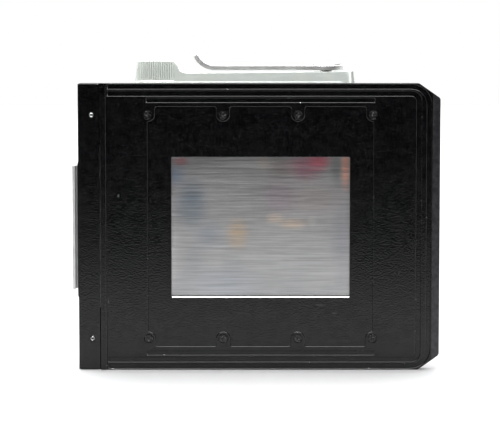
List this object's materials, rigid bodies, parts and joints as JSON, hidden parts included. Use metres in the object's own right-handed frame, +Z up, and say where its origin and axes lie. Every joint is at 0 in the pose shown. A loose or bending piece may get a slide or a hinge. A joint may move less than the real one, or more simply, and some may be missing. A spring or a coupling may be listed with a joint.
{
  "type": "roll film holder",
  "caption": "Lever-wind roll film magazine on a sheet film holder's plate, with a steel dark slide, a hinged back and a fluted counter housing on top.",
  "frame": {"origin": "centre of the whole holder's box in X and Y, at the level of the plate's lower long edge, on which it stands", "axes": "+X to the right as seen from the lens, +Y from the lens towards the hinged back, +Z up"},
  "size_m": [0.154, 0.0402, 0.1324],
  "materials": {
    "black_wrinkle_lacquer": "wrinkle",
    "blackened_steel": "satin",
    "brushed_steel": "brushed",
    "silver_casting": "satin",
    "satin_chrome": "satin",
    "satin_aluminium": "satin",
    "gear_brass": "machined",
    "black_felt": "matte",
    "black_leatherette": "grained",
    "black_plastic": "satin",
    "dial_white": "matte",
    "clear_window": "clear"
  },
  "bodies": {
    "housing_and_plate": {"front_plate": "black_wrinkle_lacquer", "rear_plate": "black_wrinkle_lacquer", "slide_cover": "black_wrinkle_lacquer", "cover_screw_1": "satin_chrome", "cover_screw_2": "satin_chrome", "face_screw_1": "blackened_steel", "face_screw_2": "blackened_steel", "face_screw_3": "blackened_steel", "face_screw_4": "blackened_steel", "face_screw_5": "blackened_steel", "face_screw_6": "blackened_steel", "face_screw_7": "blackened_steel", "face_screw_8": "blackened_steel", "trap_felt_front": "black_felt", "trap_felt_rear": "black_felt", "trap_spring": "blackened_steel", "magazine_body": "black_wrinkle_lacquer", "gear_room_cover": "blackened_steel", "hinge_pin": "satin_chrome", "door_seal_bottom": "black_felt", "door_seal_top": "black_felt", "pressure_bridge": "blackened_steel", "pawl_pin": "satin_chrome", "pawl_spring": "satin_chrome", "supply_knob_spring": "satin_chrome", "take_up_knob_spring": "satin_chrome", "supply_idler_pin": "satin_chrome", "winding_housing": "silver_casting", "housing_screw_1": "satin_chrome", "housing_screw_2": "satin_chrome", "housing_screw_3": "satin_chrome", "lever_return_spring": "blackened_steel", "counter_window": "clear_window"},
    "slide": {"dark_slide": "brushed_steel", "slide_pull": "satin_aluminium"},
    "lever": {"winding_lever": "satin_aluminium", "lever_shaft": "satin_chrome", "lever_screw": "satin_chrome", "lever_gear": "gear_brass"},
    "take_up": {"take_up_spool": "black_plastic", "take_up_shaft": "satin_chrome", "take_up_gear": "gear_brass", "ratchet_wheel": "blackened_steel"},
    "counter": {"counter_dial": "dial_white", "counter_spindle": "satin_chrome"},
    "door": {"rear_door": "black_wrinkle_lacquer", "door_leather": "black_leatherette", "memo_frame": "satin_aluminium", "latch_spring": "blackened_steel"},
    "latch": {"door_latch": "satin_aluminium"},
    "pressure": {"pressure_plate": "blackened_steel", "pressure_spring_left": "satin_chrome", "pressure_spring_right": "satin_chrome"},
    "guide": {"guide_roller": "satin_chrome"},
    "measuring": {"measuring_roller": "satin_chrome"},
    "supply_pull": {"supply_knob": "satin_chrome"},
    "take_up_pull": {"take_up_knob": "satin_chrome"},
    "release": {"release_button": "satin_aluminium"},
    "pawl": {"ratchet_pawl": "blackened_steel"}
  },
  "joints": [
    {"name": "dark_slide_pull", "type": "slide", "parent": "housing_and_plate", "child": "slide", "axis": [-1, 0, 0], "range_m": [0, 0.115]},
    {"name": "lever_swing", "type": "hinge", "parent": "housing_and_plate", "child": "lever", "pos_m": [0.0299, 0.0027, 0.1256], "axis": [0, 0, -1], "range_deg": [0, 170]},
    {"name": "take_up_turn", "type": "hinge", "parent": "housing_and_plate", "child": "take_up", "pos_m": [0.0519, 0.0027, 0.06025], "axis": [0, 0, 1], "range_deg": [0, 205]},
    {"name": "counter_turn", "type": "hinge", "parent": "housing_and_plate", "child": "counter", "pos_m": [-0.04295, 0.0072, 0.1256], "axis": [0, 0, 1], "range_deg": [0, 30]},
    {"name": "door_open", "type": "hinge", "parent": "housing_and_plate", "child": "door", "pos_m": [-0.0663, 0.00785, 0.06025], "axis": [0, 0, 1], "range_deg": [0, 110]},
    {"name": "latch_slide", "type": "slide", "parent": "door", "child": "latch", "axis": [0, 0, -1], "range_m": [0, 0.0022], "stiffness_N_per_m": 200, "springref_m": -0.003, "deforming": ["latch_spring"]},
    {"name": "pressure_plate_lift", "type": "slide", "parent": "housing_and_plate", "child": "pressure", "axis": [0, 1, 0], "range_m": [0, 0.0006], "stiffness_N_per_m": 800, "springref_m": -0.002},
    {"name": "guide_roller_spin", "type": "hinge", "parent": "housing_and_plate", "child": "guide", "pos_m": [-0.0396, -0.0111, 0.06025], "axis": [0, 0, 1], "continuous": true},
    {"name": "measuring_roller_spin", "type": "hinge", "parent": "housing_and_plate", "child": "measuring", "pos_m": [0.0434, -0.0111, 0.06025], "axis": [0, 0, 1], "continuous": true},
    {"name": "supply_knob_pull", "type": "slide", "parent": "housing_and_plate", "child": "supply_pull", "axis": [0, 0, -1], "range_m": [0, 0.006], "stiffness_N_per_m": 300, "springref_m": -0.004, "deforming": ["supply_knob_spring"]},
    {"name": "take_up_knob_pull", "type": "slide", "parent": "housing_and_plate", "child": "take_up_pull", "axis": [0, 0, -1], "range_m": [0, 0.006], "stiffness_N_per_m": 300, "springref_m": -0.004, "deforming": ["take_up_knob_spring"]},
    {"name": "release_press", "type": "slide", "parent": "housing_and_plate", "child": "release", "axis": [0, -1, 0], "range_m": [0, 0.0015], "stiffness_N_per_m": 300, "springref_m": -0.002},
    {"name": "pawl_rock", "type": "hinge", "parent": "housing_and_plate", "child": "pawl", "pos_m": [0.04125, -0.0057, 0.1089], "axis": [0, 0, -1], "range_deg": [0, 8], "stiffness_Nm_per_rad": 0.0005, "springref_deg": -1.15}
  ],
  "couplings": [
    {"joint": "take_up_turn", "follows": "lever_swing", "ratio": 1.2},
    {"joint": "counter_turn", "follows": "lever_swing", "ratio": 0.15}
  ]
}
